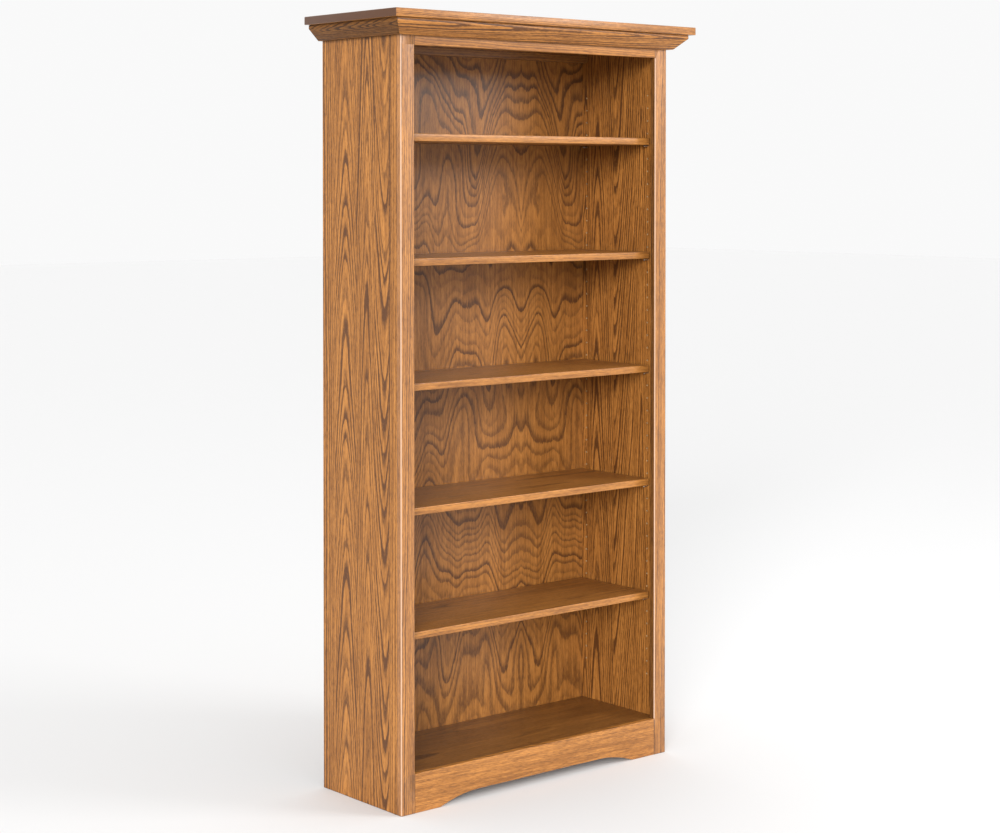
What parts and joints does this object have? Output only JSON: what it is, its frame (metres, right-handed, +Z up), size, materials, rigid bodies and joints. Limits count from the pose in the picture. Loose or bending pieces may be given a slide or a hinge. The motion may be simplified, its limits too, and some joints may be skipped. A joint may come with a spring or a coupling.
{
  "type": "bookcase with adjustable shelves",
  "caption": "Tall open oak bookcase: face frame, crown moulding and arched base, with loose shelves on pins in drilled side panels.",
  "frame": {"origin": "on the floor, under the centre of the overall box that the top board sets in plan", "axes": "+X to the viewer's right, +Y towards the back, so -Y is the open front, +Z up"},
  "size_m": [0.947, 0.3574, 1.836],
  "materials": {
    "side_panel_left": "stained open-grain oak, satin lacquer",
    "side_panel_right": "stained open-grain oak, satin lacquer",
    "back_panel": "stained open-grain oak, satin lacquer",
    "back_cleat": "stained open-grain oak, satin lacquer",
    "bottom_deck": "stained open-grain oak, satin lacquer",
    "top_board": "stained open-grain oak, satin lacquer",
    "crown_front": "stained open-grain oak, satin lacquer",
    "crown_left": "stained open-grain oak, satin lacquer",
    "crown_right": "stained open-grain oak, satin lacquer",
    "stile_left": "stained open-grain oak, satin lacquer",
    "stile_right": "stained open-grain oak, satin lacquer",
    "rail_top": "stained open-grain oak, satin lacquer",
    "rail_bottom": "stained open-grain oak, satin lacquer",
    "shelf_1": "stained open-grain oak, satin lacquer",
    "shelf_2": "stained open-grain oak, satin lacquer",
    "shelf_3": "stained open-grain oak, satin lacquer",
    "shelf_4": "stained open-grain oak, satin lacquer",
    "shelf_5": "stained open-grain oak, satin lacquer",
    "pin_1_left_front": "plain plated steel",
    "pin_1_left_rear": "plain plated steel",
    "pin_1_right_front": "plain plated steel",
    "pin_1_right_rear": "plain plated steel",
    "pin_2_left_front": "plain plated steel",
    "pin_2_left_rear": "plain plated steel",
    "pin_2_right_front": "plain plated steel",
    "pin_2_right_rear": "plain plated steel",
    "pin_3_left_front": "plain plated steel",
    "pin_3_left_rear": "plain plated steel",
    "pin_3_right_front": "plain plated steel",
    "pin_3_right_rear": "plain plated steel",
    "pin_4_left_front": "plain plated steel",
    "pin_4_left_rear": "plain plated steel",
    "pin_4_right_front": "plain plated steel",
    "pin_4_right_rear": "plain plated steel",
    "pin_5_left_front": "plain plated steel",
    "pin_5_left_rear": "plain plated steel",
    "pin_5_right_front": "plain plated steel",
    "pin_5_right_rear": "plain plated steel",
    "dowel_top_left_1": "bare turned hardwood",
    "dowel_top_left_2": "bare turned hardwood",
    "dowel_top_right_1": "bare turned hardwood",
    "dowel_top_right_2": "bare turned hardwood",
    "dowel_bottom_left_1": "bare turned hardwood",
    "dowel_bottom_left_2": "bare turned hardwood",
    "dowel_bottom_right_1": "bare turned hardwood",
    "dowel_bottom_right_2": "bare turned hardwood",
    "back_screw_left_1": "zinc-plated steel",
    "back_screw_left_2": "zinc-plated steel",
    "back_screw_left_3": "zinc-plated steel",
    "back_screw_left_4": "zinc-plated steel",
    "back_screw_right_1": "zinc-plated steel",
    "back_screw_right_2": "zinc-plated steel",
    "back_screw_right_3": "zinc-plated steel",
    "back_screw_right_4": "zinc-plated steel"
  },
  "bodies": {
    "cabinet": {"side_panel_left": "side_panel_left", "side_panel_right": "side_panel_right", "back_panel": "back_panel", "back_cleat": "back_cleat", "bottom_deck": "bottom_deck", "top_board": "top_board", "crown_front": "crown_front", "crown_left": "crown_left", "crown_right": "crown_right", "stile_left": "stile_left", "stile_right": "stile_right", "rail_top": "rail_top", "rail_bottom": "rail_bottom", "dowel_top_left_1": "dowel_top_left_1", "dowel_top_left_2": "dowel_top_left_2", "dowel_top_right_1": "dowel_top_right_1", "dowel_top_right_2": "dowel_top_right_2", "dowel_bottom_left_1": "dowel_bottom_left_1", "dowel_bottom_left_2": "dowel_bottom_left_2", "dowel_bottom_right_1": "dowel_bottom_right_1", "dowel_bottom_right_2": "dowel_bottom_right_2", "back_screw_left_1": "back_screw_left_1", "back_screw_left_2": "back_screw_left_2", "back_screw_left_3": "back_screw_left_3", "back_screw_left_4": "back_screw_left_4", "back_screw_right_1": "back_screw_right_1", "back_screw_right_2": "back_screw_right_2", "back_screw_right_3": "back_screw_right_3", "back_screw_right_4": "back_screw_right_4"},
    "shelf_1": {"shelf_1": "shelf_1"},
    "shelf_2": {"shelf_2": "shelf_2"},
    "shelf_3": {"shelf_3": "shelf_3"},
    "shelf_4": {"shelf_4": "shelf_4"},
    "shelf_5": {"shelf_5": "shelf_5"},
    "pin_1_left_front": {"pin_1_left_front": "pin_1_left_front"},
    "pin_1_left_rear": {"pin_1_left_rear": "pin_1_left_rear"},
    "pin_1_right_front": {"pin_1_right_front": "pin_1_right_front"},
    "pin_1_right_rear": {"pin_1_right_rear": "pin_1_right_rear"},
    "pin_2_left_front": {"pin_2_left_front": "pin_2_left_front"},
    "pin_2_left_rear": {"pin_2_left_rear": "pin_2_left_rear"},
    "pin_2_right_front": {"pin_2_right_front": "pin_2_right_front"},
    "pin_2_right_rear": {"pin_2_right_rear": "pin_2_right_rear"},
    "pin_3_left_front": {"pin_3_left_front": "pin_3_left_front"},
    "pin_3_left_rear": {"pin_3_left_rear": "pin_3_left_rear"},
    "pin_3_right_front": {"pin_3_right_front": "pin_3_right_front"},
    "pin_3_right_rear": {"pin_3_right_rear": "pin_3_right_rear"},
    "pin_4_left_front": {"pin_4_left_front": "pin_4_left_front"},
    "pin_4_left_rear": {"pin_4_left_rear": "pin_4_left_rear"},
    "pin_4_right_front": {"pin_4_right_front": "pin_4_right_front"},
    "pin_4_right_rear": {"pin_4_right_rear": "pin_4_right_rear"},
    "pin_5_left_front": {"pin_5_left_front": "pin_5_left_front"},
    "pin_5_left_rear": {"pin_5_left_rear": "pin_5_left_rear"},
    "pin_5_right_front": {"pin_5_right_front": "pin_5_right_front"},
    "pin_5_right_rear": {"pin_5_right_rear": "pin_5_right_rear"}
  },
  "joints": [
    {"name": "shelf_1_lift", "type": "slide", "parent": "cabinet", "child": "shelf_1", "axis": [0, 0, 1], "range_m": [0, 0.26]},
    {"name": "shelf_2_lift", "type": "slide", "parent": "cabinet", "child": "shelf_2", "axis": [0, 0, 1], "range_m": [0, 0.26]},
    {"name": "shelf_3_lift", "type": "slide", "parent": "cabinet", "child": "shelf_3", "axis": [0, 0, 1], "range_m": [0, 0.26]},
    {"name": "shelf_4_lift", "type": "slide", "parent": "cabinet", "child": "shelf_4", "axis": [0, 0, 1], "range_m": [0, 0.26]},
    {"name": "shelf_5_lift", "type": "slide", "parent": "cabinet", "child": "shelf_5", "axis": [0, 0, 1], "range_m": [0, 0.196]},
    {"name": "pin_1_left_front_pull", "type": "slide", "parent": "cabinet", "child": "pin_1_left_front", "axis": [1, 0, 0], "range_m": [0, 0.009]},
    {"name": "pin_1_left_rear_pull", "type": "slide", "parent": "cabinet", "child": "pin_1_left_rear", "axis": [1, 0, 0], "range_m": [0, 0.009]},
    {"name": "pin_1_right_front_pull", "type": "slide", "parent": "cabinet", "child": "pin_1_right_front", "axis": [-1, 0, 0], "range_m": [0, 0.009]},
    {"name": "pin_1_right_rear_pull", "type": "slide", "parent": "cabinet", "child": "pin_1_right_rear", "axis": [-1, 0, 0], "range_m": [0, 0.009]},
    {"name": "pin_2_left_front_pull", "type": "slide", "parent": "cabinet", "child": "pin_2_left_front", "axis": [1, 0, 0], "range_m": [0, 0.009]},
    {"name": "pin_2_left_rear_pull", "type": "slide", "parent": "cabinet", "child": "pin_2_left_rear", "axis": [1, 0, 0], "range_m": [0, 0.009]},
    {"name": "pin_2_right_front_pull", "type": "slide", "parent": "cabinet", "child": "pin_2_right_front", "axis": [-1, 0, 0], "range_m": [0, 0.009]},
    {"name": "pin_2_right_rear_pull", "type": "slide", "parent": "cabinet", "child": "pin_2_right_rear", "axis": [-1, 0, 0], "range_m": [0, 0.009]},
    {"name": "pin_3_left_front_pull", "type": "slide", "parent": "cabinet", "child": "pin_3_left_front", "axis": [1, 0, 0], "range_m": [0, 0.009]},
    {"name": "pin_3_left_rear_pull", "type": "slide", "parent": "cabinet", "child": "pin_3_left_rear", "axis": [1, 0, 0], "range_m": [0, 0.009]},
    {"name": "pin_3_right_front_pull", "type": "slide", "parent": "cabinet", "child": "pin_3_right_front", "axis": [-1, 0, 0], "range_m": [0, 0.009]},
    {"name": "pin_3_right_rear_pull", "type": "slide", "parent": "cabinet", "child": "pin_3_right_rear", "axis": [-1, 0, 0], "range_m": [0, 0.009]},
    {"name": "pin_4_left_front_pull", "type": "slide", "parent": "cabinet", "child": "pin_4_left_front", "axis": [1, 0, 0], "range_m": [0, 0.009]},
    {"name": "pin_4_left_rear_pull", "type": "slide", "parent": "cabinet", "child": "pin_4_left_rear", "axis": [1, 0, 0], "range_m": [0, 0.009]},
    {"name": "pin_4_right_front_pull", "type": "slide", "parent": "cabinet", "child": "pin_4_right_front", "axis": [-1, 0, 0], "range_m": [0, 0.009]},
    {"name": "pin_4_right_rear_pull", "type": "slide", "parent": "cabinet", "child": "pin_4_right_rear", "axis": [-1, 0, 0], "range_m": [0, 0.009]},
    {"name": "pin_5_left_front_pull", "type": "slide", "parent": "cabinet", "child": "pin_5_left_front", "axis": [1, 0, 0], "range_m": [0, 0.009]},
    {"name": "pin_5_left_rear_pull", "type": "slide", "parent": "cabinet", "child": "pin_5_left_rear", "axis": [1, 0, 0], "range_m": [0, 0.009]},
    {"name": "pin_5_right_front_pull", "type": "slide", "parent": "cabinet", "child": "pin_5_right_front", "axis": [-1, 0, 0], "range_m": [0, 0.009]},
    {"name": "pin_5_right_rear_pull", "type": "slide", "parent": "cabinet", "child": "pin_5_right_rear", "axis": [-1, 0, 0], "range_m": [0, 0.009]}
  ]
}
